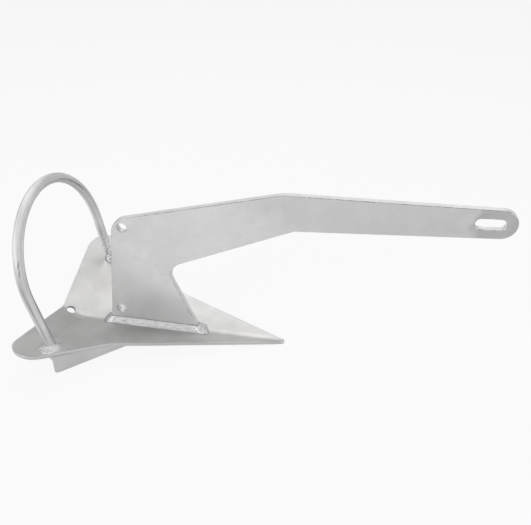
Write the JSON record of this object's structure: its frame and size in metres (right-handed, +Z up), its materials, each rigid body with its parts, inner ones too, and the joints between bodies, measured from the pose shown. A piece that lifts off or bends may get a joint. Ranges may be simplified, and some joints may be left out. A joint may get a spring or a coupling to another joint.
{
  "type": "scoop anchor",
  "caption": "Welded scoop anchor: folded pointed fluke with upturned heel, slotted plate shank, round roll bar and side skids, all in galvanised steel.",
  "frame": {"origin": "on the ground, under the middle of the length and of the width, with the anchor standing on its two skids and the tip of its fluke", "axes": "+X forward along the shank to the shackle end, +Y to the left, +Z up"},
  "size_m": [0.73, 0.3472, 0.2969],
  "materials": {
    "fluke_plate": "hot-dip galvanised, satin light grey with a faint mottle",
    "shank_plate": "hot-dip galvanised, satin light grey with a faint mottle",
    "round_bar": "hot-dip galvanised, semi-gloss grey with long light and dark streaks",
    "skid_plate": "hot-dip galvanised, satin light grey",
    "weld_metal": "rough rippled weld under zinc, light grey"
  },
  "bodies": {
    "root": {"fluke": "fluke_plate", "shank": "shank_plate", "roll_bar": "round_bar", "skid_right": "skid_plate", "skid_left": "skid_plate", "skid_weld_right_outer": "weld_metal", "skid_weld_left_outer": "weld_metal", "skid_weld_right_inner": "weld_metal", "skid_weld_left_inner": "weld_metal", "roll_bar_weld_right": "weld_metal", "roll_bar_weld_left": "weld_metal", "shank_weld_right": "weld_metal", "shank_weld_left": "weld_metal", "shank_weld_heel": "weld_metal", "shank_weld_toe": "weld_metal"}
  },
  "joints": []
}
